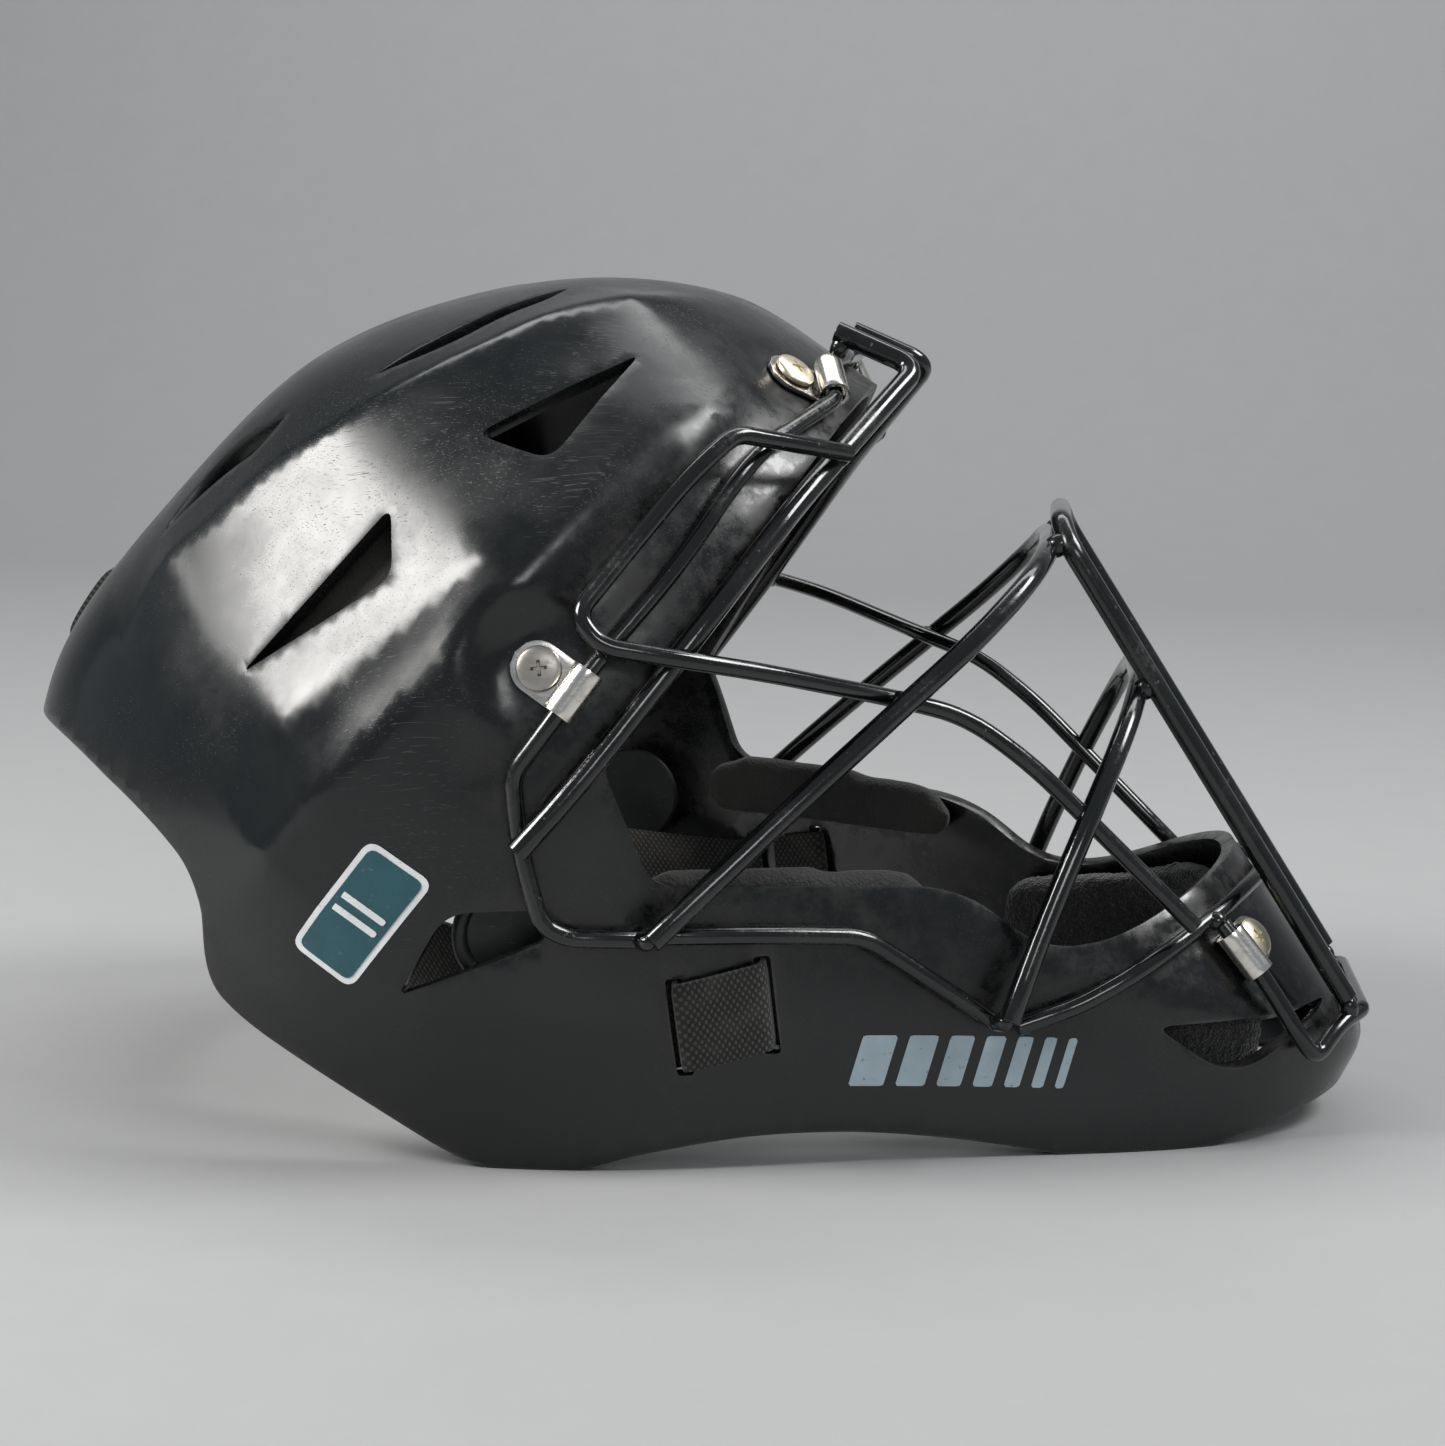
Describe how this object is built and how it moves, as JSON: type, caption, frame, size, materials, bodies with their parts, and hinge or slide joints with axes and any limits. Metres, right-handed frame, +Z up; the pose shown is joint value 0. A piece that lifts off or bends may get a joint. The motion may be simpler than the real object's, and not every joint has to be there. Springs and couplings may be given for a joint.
{
  "type": "catchers mask",
  "caption": "One-piece catcher's mask: glossy black shell, welded wire face cage on metal clips, foam pads and a strapped rear plate.",
  "frame": {"origin": "middle of the footprint, on the surface that the jaw edge rests on", "axes": "+X forward to the chin, +Y to the wearer's left, +Z up as the mask stands on its jaw edge"},
  "size_m": [0.3279, 0.2476, 0.1945],
  "materials": {
    "shell_plastic": "glossy black, scuffed",
    "coated_wire": "thick glossy black dip coat",
    "nickel_steel": "nickel plate, brushed",
    "screw_nickel": "nickel plate, slightly yellowed",
    "foam": "matt closed-cell foam with cloth face",
    "terry_cloth": "looped terry cloth",
    "webbing": "ribbed elastic webbing",
    "trim_plastic": "moulded, fine texture"
  },
  "bodies": {
    "helmet": {"shell": "shell_plastic", "perimeter_wire": "coated_wire", "eye_loop": "coated_wire", "front_bars": "coated_wire", "mouth_loop": "coated_wire", "chin_top_wire": "coated_wire", "chin_clip_wire": "coated_wire", "brow_wire_right": "coated_wire", "brow_wire_left": "coated_wire", "temple_wire_right": "coated_wire", "temple_wire_left": "coated_wire", "jaw_wire_right": "coated_wire", "jaw_wire_left": "coated_wire", "forehead_clip_right": "nickel_steel", "forehead_clip_left": "nickel_steel", "forehead_screw_right": "screw_nickel", "forehead_screw_left": "screw_nickel", "forehead_nut_right": "nickel_steel", "forehead_nut_left": "nickel_steel", "temple_clip_right": "nickel_steel", "temple_clip_left": "nickel_steel", "temple_screw_right": "screw_nickel", "temple_screw_left": "screw_nickel", "temple_nut_right": "nickel_steel", "temple_nut_left": "nickel_steel", "chin_clip_right": "nickel_steel", "chin_clip_left": "nickel_steel", "chin_screw_right": "screw_nickel", "chin_screw_left": "screw_nickel", "chin_nut_right": "nickel_steel", "chin_nut_left": "nickel_steel", "forehead_pad": "foam", "crown_pad": "foam", "chin_pad": "terry_cloth", "temple_pad_right": "foam", "temple_pad_left": "foam", "side_pad_right": "foam", "side_pad_left": "foam", "jaw_pad_right": "foam", "jaw_pad_left": "foam", "side_strap_right": "webbing", "side_strap_left": "webbing", "anchor_loop": "webbing"},
    "rear_plate": {"back_plate": "trim_plastic", "back_pad": "foam", "top_strap": "webbing", "strap_slider": "trim_plastic"}
  },
  "joints": [
    {"name": "rear_plate_swing", "type": "hinge", "parent": "helmet", "child": "rear_plate", "pos_m": [-0.1516, 0, 0.0982], "axis": [0, 1, 0], "range_deg": [0, 24], "stiffness_Nm_per_rad": 0.6, "springref_deg": -17.19}
  ]
}
